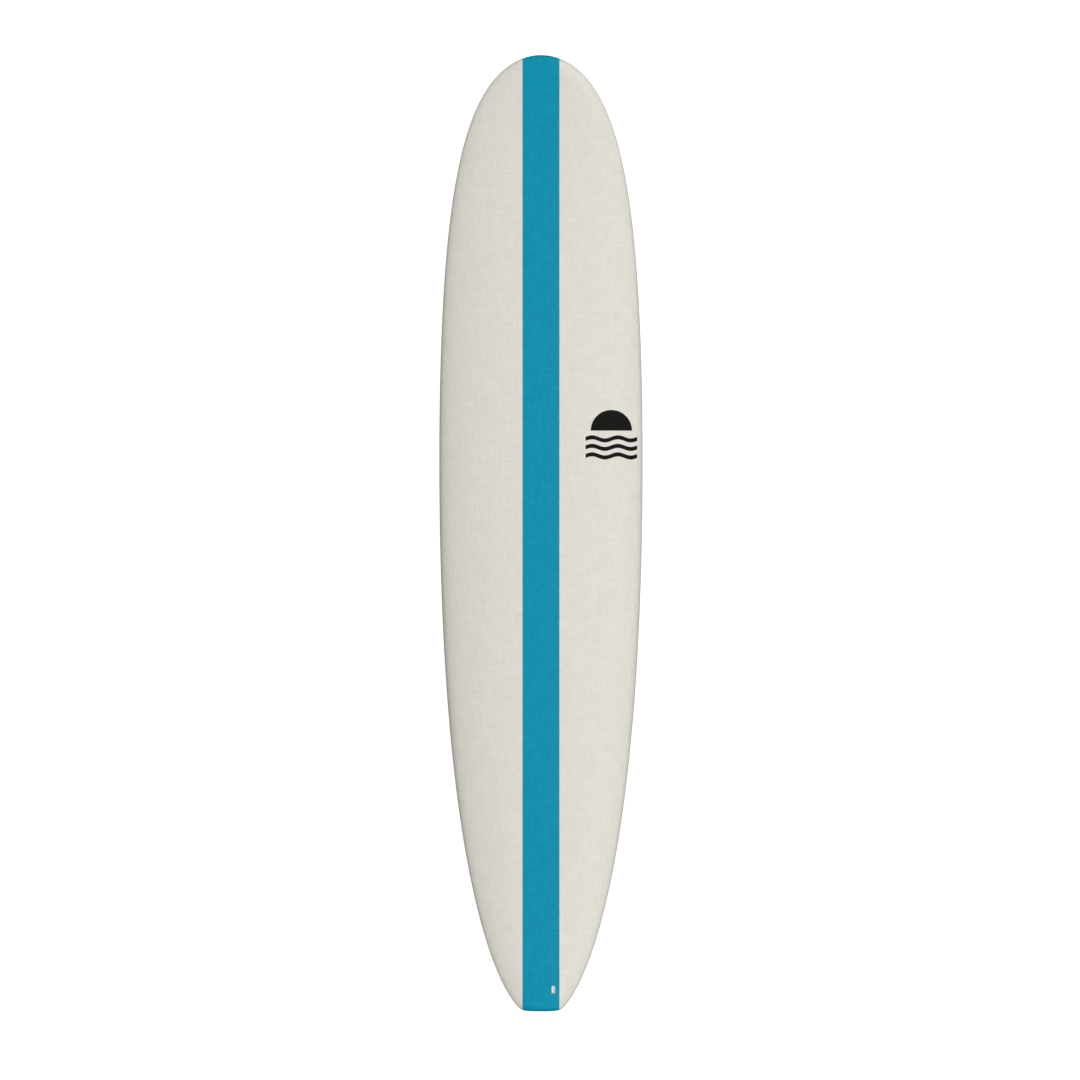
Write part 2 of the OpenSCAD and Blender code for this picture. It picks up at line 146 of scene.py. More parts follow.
def outline_curves():
    """The three curves of the outline, as (half width, distance from the tail)."""
    length, wide = 2 * HALF_LENGTH, WIDE_POINT * 2 * HALF_LENGTH
    corner = np.array(TAIL_CORNER)
    direction = np.array([math.sin(TAIL_CORNER_ANGLE), math.cos(TAIL_CORNER_ANGLE)])
    nose = [
        (HALF_WIDTH, wide),
        (HALF_WIDTH, wide + NOSE_REACH * length),
        (NOSE_SHOULDER[0] * HALF_WIDTH, NOSE_SHOULDER[1] * length),
        (NOSE_END_REACH * HALF_WIDTH, length),
        (0, length),
    ]
    tail = [
        (HALF_WIDTH, wide),
        (HALF_WIDTH, wide - TAIL_REACH * length),
        corner + TAIL_CORNER_REACH * direction,
        corner,
    ]
    end = [
        corner,
        (corner[0] - corner[1] * math.tan(TAIL_CORNER_ANGLE), 0),
        (TAIL_END_REACH, 0),
        (0, 0),
    ]
    return end, tail, nose


def stations(end_steps, tail_steps, nose_steps):
    """Half width and y from the tail to the nose, without the two tips."""
    end, tail, nose = outline_curves()
    rows = np.concatenate([
        bezier(end, 1 - np.arange(1, end_steps + 1) / end_steps),
        bezier(tail, 1 - np.arange(1, tail_steps + 1) / tail_steps),
        bezier(nose, np.arange(1, nose_steps) / nose_steps),
    ])
    return rows[:, 0], rows[:, 1] - HALF_LENGTH


OUTLINE_STEPS = (24, 110, 150)
FINE_STEPS = (60, 600, 800)

fine_w, fine_y = stations(*FINE_STEPS)
fine_w = np.concatenate([[0], fine_w, [0]])
fine_y = np.concatenate([[-HALF_LENGTH], fine_y, [HALF_LENGTH]])


def half_width_at(y):
    return np.interp(y, fine_y, fine_w)


def kick(u):
    straight = TAIL_CURVED**TAIL_KICK + TAIL_KICK * TAIL_CURVED ** (TAIL_KICK - 1) * (u - TAIL_CURVED)
    return np.where(u < TAIL_CURVED, np.abs(u) ** TAIL_KICK, straight)


def rocker(y):
    u = np.maximum(0, np.abs(y) - BOTTOM_FLAT / 2) / (HALF_LENGTH - BOTTOM_FLAT / 2)
    return np.where(y > 0, NOSE_ROCKER * u**NOSE_FLIP, TAIL_ROCKER * kick(u) / kick(1.0))


def thickness(y):
    tip = np.where(y > 0, NOSE_THICKNESS, TAIL_THICKNESS)
    return tip + (THICKNESS - tip) * (1 - (np.abs(y) / HALF_LENGTH) ** FOIL_POWER)


def tip_closing(y):
    s = np.clip((HALF_LENGTH - np.abs(y)) / TIP_ROUND, 0, 1)
    return np.sqrt(np.maximum(0, 1 - (1 - s) ** 2))


def rail_z(y):
    return rocker(y) + rail_share(y) * thickness(y)


def rise(y):
    return (1 - rail_share(y)) * thickness(y) * tip_closing(y)


def drop(y):
    return rail_share(y) * thickness(y) * tip_closing(y)


def deck_z(x, y):
    u = np.minimum(1, np.abs(x) / np.maximum(half_width_at(y), 1e-6))
    return rail_z(y) + rise(y) * (1 - u**DOME) ** (1 / DOME)


DECK_STEPS = 96
RAIL_STEPS = 18
FLAT_STEPS = 16


def sections(widths, ys):
    """One closed section per station: over the deck from the left rail, then back under the bottom."""
    w, y = widths[:, None], ys[:, None]
    a = math.pi * (1 - np.arange(DECK_STEPS + 1) / DECK_STEPS)[None, :]
    deck_x = w * np.sign(np.cos(a)) * np.abs(np.cos(a)) ** (2 / DOME)
    deck_up = rail_z(y) + rise(y) * np.abs(np.sin(a)) ** (2 / DOME)
    b = math.pi / 2 * (np.arange(1, RAIL_STEPS + 1) / RAIL_STEPS)[None, :]
    rail_x = w * (flat_share(y) + (1 - flat_share(y)) * np.cos(b))
    rail_up = rail_z(y) - drop(y) * np.sin(b)
    k = (1 - 2 * np.arange(1, FLAT_STEPS) / FLAT_STEPS)[None, :]
    flat_x = w * flat_share(y) * k
    flat_up = (rail_z(y) - drop(y)) * np.ones_like(k)
    x = np.concatenate([deck_x, rail_x, flat_x, -rail_x[:, ::-1]], 1)
    z = np.concatenate([deck_up, rail_up, flat_up, rail_up[:, ::-1]], 1)
    return np.stack([x, np.broadcast_to(y, x.shape), z], -1)


def outer_surface():
    """The board's outer points and outward normals on a grid of stations and columns, tips included."""
    widths, ys = stations(*OUTLINE_STEPS)
    grid = sections(widths, ys)
    tail = np.broadcast_to([0, -HALF_LENGTH, TAIL_TIP_Z], grid[:1].shape)
    nose = np.broadcast_to([0, HALF_LENGTH, NOSE_TIP_Z], grid[:1].shape)
    grid = np.concatenate([tail, grid, nose])
    normals = np.cross(np.roll(grid, -1, 1) - np.roll(grid, 1, 1), np.gradient(grid, axis=0))
    normals[0], normals[-1] = (0, -1, 0), (0, 1, 0)
    return grid, normals / np.linalg.norm(normals, axis=-1, keepdims=True)


FILM_HEIGHT = 0.06 * MM
FILM_SINK = 0.3 * MM


def film(name, x, y):
    """A film over a grid of x and y, standing just above the deck and reaching a little into the laminate."""
    grid = np.stack([x, y, deck_z(x, y)], -1)
    normals = np.cross(np.gradient(grid, axis=1), np.gradient(grid, axis=0))
    length = np.linalg.norm(normals, axis=-1, keepdims=True)
    normals = np.where(length > 0, normals / np.maximum(length, 1e-12), (0.0, 0.0, 1.0))
    return slab_between(name, grid + FILM_HEIGHT * normals, grid - FILM_SINK * normals)


# ---- Meshes ----

def new_object(name, points, faces):
    mesh = bpy.data.meshes.new(name)
    mesh.from_pydata([tuple(p) for p in points], [], [tuple(f) for f in faces])
    mesh.validate()
    piece = bpy.data.objects.new(name, mesh)
    bpy.context.collection.objects.link(piece)
    return piece


WELD_DISTANCE = 1e-6
SHORTEST_EDGE = 1e-7


def weld(piece):
    bm = bmesh.new()
    bm.from_mesh(piece.data)
    bmesh.ops.remove_doubles(bm, verts=bm.verts, dist=WELD_DISTANCE)
    bmesh.ops.dissolve_degenerate(bm, edges=bm.edges, dist=SHORTEST_EDGE)
    bmesh.ops.recalc_face_normals(bm, faces=bm.faces)
    bm.to_mesh(piece.data)
    bm.free()


def slab_between(name, top, bottom):
    """A closed sheet between two grids of points of the same shape."""
    rows, cols = top.shape[:2]
    index = np.arange(rows * cols).reshape(rows, cols)
    under = index + rows * cols
    faces = []
    for i in range(rows - 1):
        for j in range(cols - 1):
            faces.append((index[i, j], index[i, j + 1], index[i + 1, j + 1], index[i + 1, j]))
            faces.append((under[i, j], under[i + 1, j], under[i + 1, j + 1], under[i, j + 1]))
    for i in range(rows - 1):
        for j, turn in ((0, 1), (cols - 1, -1)):
            faces.append((index[i, j], index[i + 1, j], under[i + 1, j], under[i, j])[::turn])
    for j in range(cols - 1):
        for i, turn in ((0, -1), (rows - 1, 1)):
            faces.append((index[i, j], index[i, j + 1], under[i, j + 1], under[i, j])[::-turn])
    piece = new_object(name, np.concatenate([top.reshape(-1, 3), bottom.reshape(-1, 3)]), faces)
    weld(piece)
    return piece


def applied(piece):
    """Bakes a piece's modifiers into its mesh."""
    evaluated = piece.evaluated_get(bpy.context.evaluated_depsgraph_get())
    mesh = bpy.data.meshes.new_from_object(evaluated)
    piece.modifiers.clear()
    piece.data = mesh


def cut(piece, cutters):
    for cutter in cutters:
        modifier = piece.modifiers.new("cut", "BOOLEAN")
        modifier.operation = "DIFFERENCE"
        modifier.solver = "EXACT"
        modifier.object = cutter
    bpy.context.view_layer.update()
    applied(piece)
    for cutter in cutters:
        bpy.data.objects.remove(cutter)


def smooth(piece, sharp_angle=40):
    piece.data.shade_smooth()
    piece.data.set_sharp_from_angle(angle=math.radians(sharp_angle))


ALIGNED = 0.8


def surface_shading(piece, points, normals):
    """Shades a piece of the surface with the whole surface's own normals, so that no seam shows."""
    tree = KDTree(len(points))
    for i, point in enumerate(points):
        tree.insert(point, i)
    tree.balance()
    mesh = piece.data
    at_vertex = [Vector(normals[tree.find(v.co)[1]]) for v in mesh.vertices]
    mesh.shade_smooth()
    split = [None] * len(mesh.loops)
    for face in mesh.polygons:
        for loop in face.loop_indices:
            normal = at_vertex[mesh.loops[loop].vertex_index]
            split[loop] = normal if normal.dot(face.normal) > ALIGNED else face.normal.copy()
    mesh.normals_split_custom_set(split)


def rounded_outline(width, length, corner, steps=8):
    """Points round a rectangle with rounded corners, in order."""
    points = []
    for k, (sx, sy) in enumerate(((1, 1), (-1, 1), (-1, -1), (1, -1))):
        for step in range(steps + 1):
            a = math.pi / 2 * (k + step / steps)
            points.append((sx * (width / 2 - corner) + corner * math.cos(a),
                           sy * (length / 2 - corner) + corner * math.sin(a)))
    return np.array(points)


def lofted(name, rings, place):
    """A closed solid through rings of points, put in place by a function from local to frame points."""
    count = len(rings[0])
    faces = [tuple(range(count))[::-1], tuple(range((len(rings) - 1) * count, len(rings) * count))]
    for i in range(len(rings) - 1):
        for j in range(count):
            k = (j + 1) % count
            faces.append((i * count + j, i * count + k, (i + 1) * count + k, (i + 1) * count + j))
    piece = new_object(name, place(np.concatenate(rings)), faces)
    weld(piece)
    return piece


def ring(outline, z):
    return np.column_stack([outline, np.full(len(outline), z)])


def rounded_block(name, size, low, high, corner, place, y=0.0, edge=0.0):
    """A block of (width, length) between two heights, with rounded corners and eased edges."""
    rings = []
    for z, inset in ((low, edge), (low + edge, 0.0), (high - edge, 0.0), (high, edge)):
        outline = rounded_outline(size[0] - 2 * inset, size[1] - 2 * inset, max(corner - inset, 1e-5))
        rings.append(ring(outline + (0, y), z))
    return lofted(name, rings, place)


def joined(piece, others):
    for other in others:
        modifier = piece.modifiers.new("join", "BOOLEAN")
        modifier.operation = "UNION"
        modifier.solver = "EXACT"
        modifier.object = other
    bpy.context.view_layer.update()
    applied(piece)
    for other in others:
        bpy.data.objects.remove(other)
    return piece


# ---- Materials ----

class Shader:
    """A Principled material whose colour, roughness and bump come from nodes in object space."""

    def __init__(self, name, roughness=0.5, specular=0.5, metallic=0.0):
        self.material = bpy.data.materials.new(name)
        self.material.use_nodes = True
        self.nodes = self.material.node_tree.nodes
        self.links = self.material.node_tree.links
        self.principled = self.nodes["Principled BSDF"]
        self.principled.inputs["Roughness"].default_value = roughness
        self.principled.inputs["Specular IOR Level"].default_value = specular
        self.principled.inputs["Metallic"].default_value = metallic
        self.space = self.nodes.new("ShaderNodeTexCoord").outputs["Object"]

    def link(self, value, socket):
        if isinstance(value, bpy.types.NodeSocket):
            self.links.new(value, socket)
        else:
            socket.default_value = value

    def mapped(self, scale):
        mapping = self.nodes.new("ShaderNodeMapping")
        self.links.new(self.space, mapping.inputs["Vector"])
        mapping.inputs["Scale"].default_value = scale
        return mapping.outputs["Vector"]

    def noise(self, scale, detail=3.0, roughness=0.55, seed=0.0):
        """Noise from 0 to 1, with its scale in repeats a metre along X, Y and Z."""
        texture = self.nodes.new("ShaderNodeTexNoise")
        texture.noise_dimensions = "4D"
        self.links.new(self.mapped(scale), texture.inputs["Vector"])
        texture.inputs["W"].default_value = seed
        texture.inputs["Scale"].default_value = 1.0
        texture.inputs["Detail"].default_value = detail
        texture.inputs["Roughness"].default_value = roughness
        return texture.outputs["Fac"]

    def wave(self, axis, pitch):
        """Bands from 0 to 1, a pitch apart: the texture has 20 bands in 2 pi at a scale of 1."""
        texture = self.nodes.new("ShaderNodeTexWave")
        texture.bands_direction = axis
        self.links.new(self.mapped((1, 1, 1)), texture.inputs["Vector"])
        texture.inputs["Scale"].default_value = math.pi / 10 / pitch
        return texture.outputs["Fac"]

    def math(self, operation, a, b=0.0):
        node = self.nodes.new("ShaderNodeMath")
        node.operation = operation
        self.link(a, node.inputs[0])
        self.link(b, node.inputs[1])
        return node.outputs[0]

    def spread(self, value, low, high, to_low=0.0, to_high=1.0):
        node = self.nodes.new("ShaderNodeMapRange")
        for socket, amount in zip(node.inputs[:5], (value, low, high, to_low, to_high)):
            self.link(amount, socket)
        return node.outputs[0]

    def mix(self, amount, first, second):
        node = self.nodes.new("ShaderNodeMix")
        node.data_type = "RGBA"
        colours = [s for s in node.inputs if s.type == "RGBA"]
        self.link(amount, node.inputs[0])
        for socket, colour in zip(colours, (first, second)):
            self.link(colour if isinstance(colour, bpy.types.NodeSocket) else (*colour, 1.0), socket)
        return next(s for s in node.outputs if s.type == "RGBA")

    def colour(self, value):
        self.link((*value, 1.0) if isinstance(value, tuple) else value, self.principled.inputs["Base Color"])

    def rough(self, value):
        self.link(value, self.principled.inputs["Roughness"])

    def bump(self, height, distance):
        node = self.nodes.new("ShaderNodeBump")
        node.inputs["Strength"].default_value = 1.0
        node.inputs["Distance"].default_value = distance
        self.link(height, node.inputs["Height"])
        previous = self.principled.inputs["Normal"].links
        if previous:
            self.links.new(previous[0].from_socket, node.inputs["Normal"])
        self.links.new(node.outputs["Normal"], self.principled.inputs["Normal"])


def tint(colour, amount):
    return tuple(min(1.0, c * amount) for c in colour)


CLOTH_PITCH = 1.4 * MM


def cloth(shader, depth=0.02 * MM):
    """The weave of glass cloth telegraphing through the resin."""
    warp = shader.wave("X", CLOTH_PITCH)
    weft = shader.wave("Y", CLOTH_PITCH)
    weave = shader.math("MULTIPLY", warp, weft)
    shader.bump(weave, depth)
    return weave


def linen(shader):
    """Long soft threads of both directions, from 0 to 1, as a length of cloth shows from afar."""
    lengthwise = shader.noise((190, 26, 60), detail=1.0, seed=1.0)
    crosswise = shader.noise((26, 190, 60), detail=1.0, seed=2.0)
    return shader.spread(shader.math("ADD", lengthwise, crosswise), 0.75, 1.25)


LAMINATE = (0.714, 0.689, 0.625)
WARMTH = (1.006, 1.0, 0.985)
STRIPE = (0.0030, 0.286, 0.440)
PRINT_DARK = (0.0062, 0.0062, 0.0056)
PRINT_LIGHT = (0.0088, 0.0087, 0.0078)
WEAVE_CONTRAST = 0.040
STRIPE_CONTRAST = 0.075
SANDED = (0.34, 0.48)


def laminate_material(name, base):
    shader = Shader(name, specular=0.5)
    threads = linen(shader)
    fabric = shader.mix(threads, tint(base, 1 - WEAVE_CONTRAST), tint(base, 1 + WEAVE_CONTRAST))
    clouds = shader.spread(shader.noise((5, 3, 5), detail=2.0, seed=3.0), 0.35, 0.65)
    warm = tuple(channel * warmth for channel, warmth in zip(base, WARMTH))
    dark_thread = tint(warm, 1 - 1.3 * WEAVE_CONTRAST)
    light_thread = tint(warm, 1 + 0.7 * WEAVE_CONTRAST)
    warm_fabric = shader.mix(threads, dark_thread, light_thread)
    shader.colour(shader.mix(shader.math("MULTIPLY", clouds, 0.5), fabric, warm_fabric))
    sanding = shader.noise((90, 40, 90), detail=4.0, seed=4.0)
    shader.rough(shader.spread(sanding, 0.3, 0.7, *SANDED))
    cloth(shader)
    shader.bump(shader.noise((7, 4, 7), detail=1.0, seed=5.0), 0.4 * MM)
    return shader.material


def stripe_material():
    shader = Shader("stripe_blue", specular=0.045)
    threads = linen(shader)
    shader.colour(shader.mix(threads, tint(STRIPE, 1 - STRIPE_CONTRAST), tint(STRIPE, 1 + STRIPE_CONTRAST)))
    shader.rough(shader.spread(shader.noise((90, 40, 90), seed=4.0), 0.3, 0.7, *SANDED))
    cloth(shader)
    return shader.material


def print_material():
    shader = Shader("print_black", specular=0.035)
    grain = shader.noise((700, 700, 700), detail=2.0)
    shader.colour(shader.mix(grain, PRINT_DARK, PRINT_LIGHT))
    shader.rough(shader.spread(grain, 0.3, 0.7, 0.4, 0.52))
    cloth(shader)
    return shader.material


def moulded_material(name, base, grain_scale=900, roughness=(0.42, 0.58), speckle=0.12):
    """Moulded plastic: a fine eroded grain, a little flow marking and uneven sheen."""
    shader = Shader(name, specular=0.4)
    grain = shader.noise((grain_scale,) * 3, detail=4.0)
    flow = shader.noise((30, 9, 30), detail=3.0, seed=6.0)
    mottled = shader.math("ADD", shader.math("MULTIPLY", grain, 0.6), shader.math("MULTIPLY", flow, 0.4))
    amount = shader.spread(mottled, 0.35, 0.65)
    shader.colour(shader.mix(amount, tint(base, 1 - speckle), tint(base, 1 + speckle)))
    shader.rough(shader.spread(flow, 0.3, 0.7, *roughness))
    shader.bump(grain, 0.03 * MM)
    return shader.material


def metal_material(name, base):
    """Drawn or machined metal, with fine lines and a few duller patches."""
    shader = Shader(name, metallic=1.0)
    drawn = shader.noise((60, 900, 900), detail=3.0)
    dull = shader.noise((120, 120, 120), detail=3.0, seed=7.0)
    shader.colour(shader.mix(dull, tint(base, 0.88), tint(base, 1.05)))
    shader.rough(shader.spread(drawn, 0.3, 0.7, 0.22, 0.4))
    shader.bump(drawn, 0.01 * MM)
    return shader.material


def foam_material():
    shader = Shader("foam_cells", roughness=0.85, specular=0.2)
    cells = shader.nodes.new("ShaderNodeTexVoronoi")
    shader.links.new(shader.space, cells.inputs["Vector"])
    cells.inputs["Scale"].default_value = 1400
    distance = cells.outputs["Distance"]
    shader.colour(shader.mix(shader.spread(distance, 0.0, 0.8), (0.86, 0.84, 0.78), (0.74, 0.72, 0.65)))
    shader.bump(distance, 0.2 * MM)
    return shader.material


def wood_material():
    shader = Shader("stringer_wood", roughness=0.6, specular=0.3)
    grain = shader.noise((120, 3, 240), detail=5.0)
    rings = shader.spread(grain, 0.3, 0.7)
    shader.colour(shader.mix(rings, (0.52, 0.34, 0.18), (0.68, 0.50, 0.30)))
    shader.bump(grain, 0.1 * MM)
    return shader.material


def resin_material(name, base, weave):
    shader = Shader(name, specular=0.5)
    cloudy = shader.noise((60, 60, 60), detail=3.0)
    shader.colour(shader.mix(cloudy, tint(base, 0.94), tint(base, 1.04)))
    shader.rough(shader.spread(cloudy, 0.3, 0.7, 0.15, 0.3))
    if weave:
        cloth(shader, 0.05 * MM)
    return shader.material


# ---- Frames on the board, from the joints and the CAD nodes ----

def axes(y_axis, z_axis):
    """A turned frame's axes as the columns of a matrix."""
    y, z = np.array(y_axis, float), np.array(z_axis, float)
    return np.stack([np.cross(y, z), y, z], 1)


def turn_y(angle):
    c, s = math.cos(angle), math.sin(angle)
    return np.array([[c, 0, s], [0, 1, 0], [-s, 0, c]])


def turn_z(angle):
    c, s = math.cos(angle), math.sin(angle)
    return np.array([[c, -s, 0], [s, c, 0], [0, 0, 1]])


def extent(node, turned):
    """Lowest and highest corner of a node in turned axes."""
    points = vertices_of(node) @ turned
    return points.min(0), points.max(0)


def placed(turned, origin):
    """A function that carries local points to the frame."""
    return lambda points: np.asarray(points) @ turned.T + origin


SIDES = {"left": -1, "right": 1}
TOE = math.radians(2)
CANT = math.radians(6)
SIDE_SHIFT = 6 * MM
BOX_AXES = axes(joints["centre_fin_slide"]["axis"], -np.array(joints["centre_screw_turn"]["axis"]))
SIDE_AXES = {name: BOX_AXES @ turn_z(side * TOE) for name, side in SIDES.items()}


def box_origin(node, turned, shift=0.0):
    """The middle of a fin box's flange on the bottom, moved back along the box by a shift."""
    low, high = extent(node, turned)
    return turned @ np.array([(low[0] + high[0]) / 2, (low[1] + high[1]) / 2 - shift, low[2]])


PLUG_PROUD = 0.6 * MM
FIT_GAP = 0.2 * MM
SLOPE_STEP = 0.5 * MM


def deck_frame():
    """The leash plug's axes and the point on the deck that it is centred on."""
    low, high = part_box("leash_plug_pin")
    x, y = (low.x + high.x) / 2, (low.y + high.y) / 2
    e = SLOPE_STEP
    fall_x = deck_z(x - e, y) - deck_z(x + e, y)
    fall_y = deck_z(x, y - e) - deck_z(x, y + e)
    normal = np.array([fall_x, fall_y, 2 * e])
    normal /= np.linalg.norm(normal)
    tilt = turn_y(math.asin(normal[0]))
    y_axis = np.array([0, math.sqrt(1 - normal[1] ** 2), -normal[1]])
    turned = np.stack([np.cross(tilt @ y_axis, normal), tilt @ y_axis, normal], 1)
    low, high = extent("leash_plug_cup", turned)
    middle = turned @ np.array([(low[0] + high[0]) / 2, (low[1] + high[1]) / 2, high[2]])
    return turned, middle - turned[:, 2] * PLUG_PROUD


box_at = box_origin("centre_fin_box", BOX_AXES)
side_at = {
    name: box_origin(f"side_fin_box_{name}", SIDE_AXES[name], SIDE_SHIFT) for name in SIDES
}
plug_axes, plug_at = deck_frame()


def size_of(node, turned):
    low, high = extent(node, turned)
    return high[0] - low[0], high[1] - low[1]


# ---- Pieces ----

FLANGE_CORNER = 4 * MM


def box_cutters():
    """Cutters for the three fin boxes' flanges."""
    flanges = [("centre_fin_box", BOX_AXES, box_at, 0.0)]
    flanges += [(f"side_fin_box_{n}", SIDE_AXES[n], side_at[n], SIDE_SHIFT) for n in SIDES]
    cutters = []
    for node, turned, origin, shift in flanges:
        width, length = size_of(node, turned)
        size = (width + 2 * FIT_GAP, length + 2 * FIT_GAP)
        place = placed(turned, origin)
        cutters.append(rounded_block("cutter", size, -3 * MM, 5 * MM, FLANGE_CORNER, place, y=shift))
    return cutters


MOUTH = (9.8 * MM, 21 * MM)
MOUTH_CORNER = 2 * MM


def mouth_cutter():
    return rounded_block("cutter", MOUTH, -6 * MM, 3 * MM, MOUTH_CORNER, placed(plug_axes, plug_at))


def laminates():
    """The deck and bottom laminates, as one surface parted at the rail, with their openings cut."""
    outer, normals = outer_surface()
    inner = outer - SKIN * normals
    around = outer.shape[1]
    pieces = []
    for name, columns, cutters in (
        ("deck_laminate", np.arange(DECK_STEPS + 1), [mouth_cutter()]),
        ("bottom_laminate", np.arange(DECK_STEPS, around + 1) % around, box_cutters()),
    ):
        piece = slab_between(name, outer[:, columns], inner[:, columns])
        cut(piece, cutters)
        surface_shading(piece, outer.reshape(-1, 3), normals.reshape(-1, 3))
        pieces.append(piece)
    return pieces


STRIPE_HALF_WIDTH = 53 * MM
STRIPE_COLUMNS = 40
CORNER_ROWS = 16
CORNER_SPAN = 12 * MM


def stripe_stations():
    """Half widths and y along the stripe, closer together where its sides run into the rails."""
    ys = stations(*OUTLINE_STEPS)[1]
    widest = np.argmax(fine_w)
    corner = STRIPE_HALF_WIDTH + CORNER_SPAN * (np.arange(CORNER_ROWS) / CORNER_ROWS) ** 2
    at_tail = np.interp(corner, fine_w[:widest], fine_y[:widest])
    at_nose = np.interp(corner, fine_w[:widest:-1], fine_y[:widest:-1])
    ys = np.unique(np.concatenate([[-HALF_LENGTH], ys, at_tail, at_nose, [HALF_LENGTH]]))
    return half_width_at(ys), ys


def deck_stripe():
    """The coloured stripe, from edge to edge of the deck where the tips are narrower than it."""
    widths, ys = stripe_stations()
    reach = np.minimum(STRIPE_HALF_WIDTH, widths)[:, None]
    a = math.pi * (1 - np.arange(STRIPE_COLUMNS + 1) / STRIPE_COLUMNS)[None, :]
    x = reach * np.sign(np.cos(a)) * np.abs(np.cos(a)) ** (2 / DOME)
    y = np.broadcast_to(ys[:, None], x.shape)
    piece = film("stripe", x, y)
    cut(piece, [mouth_cutter()])
    smooth(piece)
    return piece


# The mark's shape, in shares of its half width
DISC_RADIUS = 0.8
DISC_LOW = 0.2
WAVE_THICK = 0.16
WAVE_HEIGHT = 0.06
FIRST_WAVE = -0.12
WAVE_STEP = -0.33
WAVES = 3

DISC_STEPS = 32
WAVE_COLUMNS = 96
WAVE_ROWS = 4


def deck_mark():
    """A generic mark: a half disc over three waves."""
    low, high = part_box("deck_decal")
    r = (high.x - low.x) / 2
    middle_x = (low.x + high.x) / 2
    middle_y = high.y - r
    disc_r = DISC_RADIUS * r
    turn = math.pi / 2 * np.arange(DISC_STEPS + 1)[:, None] / DISC_STEPS
    across = np.linspace(-1, 1, DISC_STEPS + 1)[None, :]
    disc_x = middle_x + disc_r * np.cos(turn) * across
    disc_y = middle_y + DISC_LOW * r + disc_r * np.sin(turn) * np.ones_like(across)
    parts = [film("mark", disc_x, disc_y)]
    along = np.linspace(-1, 1, WAVE_COLUMNS + 1)[None, :]
    edge = np.linspace(-0.5, 0.5, WAVE_ROWS + 1)[:, None]
    swell = WAVE_HEIGHT * np.sin(2 * math.pi * (along + 1))
    for band in range(WAVES):
        y = middle_y + r * (WAVE_THICK * edge + swell + FIRST_WAVE + WAVE_STEP * band)
        parts.append(film("mark", middle_x + r * along * np.ones_like(edge), y))
    return merged("deck_mark", parts)


def merged(name, parts):
    bm = bmesh.new()
    for part in parts:
        bm.from_mesh(part.data)
        bpy.data.objects.remove(part)
    piece = new_object(name, [], [])
    bm.to_mesh(piece.data)
    bm.free()
    smooth(piece)
    return piece


def plug_cup():
    """The leash plug's cup, with a soft lip and a rounded floor."""
    barrel, flange, cavity = (16 * MM, 28 * MM), (26 * MM, 38 * MM), (7.6 * MM, 18.8 * MM)
    bottom, flange_bottom, flange_top, floor_z = -15 * MM, -4.4 * MM, -2.4 * MM, -12.5 * MM
    body_corner, cavity_corner, least_corner = 4 * MM, 1 * MM, 0.2 * MM
    foot, rim, lip, floor = 0.6 * MM, 0.3 * MM, 0.45 * MM, 0.8 * MM
    profile = [
        (barrel, bottom, body_corner, foot),
        (barrel, bottom + foot, body_corner, 0),
        (barrel, flange_bottom, body_corner, 0),
        (flange, flange_bottom, body_corner, rim),
        (flange, flange_bottom + rim, body_corner, 0),
        (flange, flange_top - rim, body_corner, 0),
        (flange, flange_top, body_corner, rim),
        (MOUTH, flange_top, MOUTH_CORNER, 0),
    ]
    quarter = [math.pi / 2 * k / 4 for k in range(5)]
    profile += [(MOUTH, PLUG_PROUD - lip * (1 - math.sin(a)), MOUTH_CORNER, lip * (1 - math.cos(a)))
                for a in quarter]
    profile += [(cavity, PLUG_PROUD - lip * (1 - math.cos(a)), cavity_corner, -lip * (1 - math.sin(a)))
                for a in quarter]
    profile += [(cavity, floor_z + floor * (1 - math.sin(a)), cavity_corner, floor * (1 - math.cos(a)))
                for a in quarter]
    rings = []
    for (width, length), z, corner, inset in profile:
        outline = rounded_outline(width - 2 * inset, length - 2 * inset, max(corner - inset, least_corner))
        rings.append(ring(outline, z))
    piece = lofted("plug_cup", rings, placed(plug_axes, plug_at))
    smooth(piece)
    return piece


FOIL_FULLNESS = 2.6
TIP_THINNING = 0.6
TIP_CLOSING_POWER = 6
BLUNTNESS = 0.08
BLADE_SPANS = 72
CHORD_STEPS = 40


def blade(name, lead, trail, thick, inner_share, place):
    """A fin's blade between its leading and trailing edges, closed at the tip and open to the root."""
    t = 1 - (1 - np.arange(BLADE_SPANS) / BLADE_SPANS) ** 2
    c = (1 - np.cos(math.pi * np.arange(CHORD_STEPS + 1) / CHORD_STEPS)) / 2
    half = thick / 2 * (1 - TIP_THINNING * t) * np.sqrt(1 - t**TIP_CLOSING_POWER)
    half = half[:, None] * (FOIL_FULLNESS * np.sqrt(c) * (1 - c) + BLUNTNESS * c)[None, :]
    from_lead = bezier(lead, t)[:, None] * (1 - c)[None, :, None]
    from_trail = bezier(trail, t)[:, None] * c[None, :, None]
    edge_points = from_lead + from_trail
    outer_face = np.concatenate([half[..., None], edge_points], -1)
    inner_face = np.concatenate([-inner_share * half[..., None], edge_points], -1)[:, :0:-1]
    rings = list(np.concatenate([outer_face, inner_face], 1))
    tip = np.array([0, lead[-1][0], lead[-1][1]])
    rings.append(np.broadcast_to(tip, rings[0].shape))
    return lofted(name, rings, place)


FIN_ROOT = 1 * MM


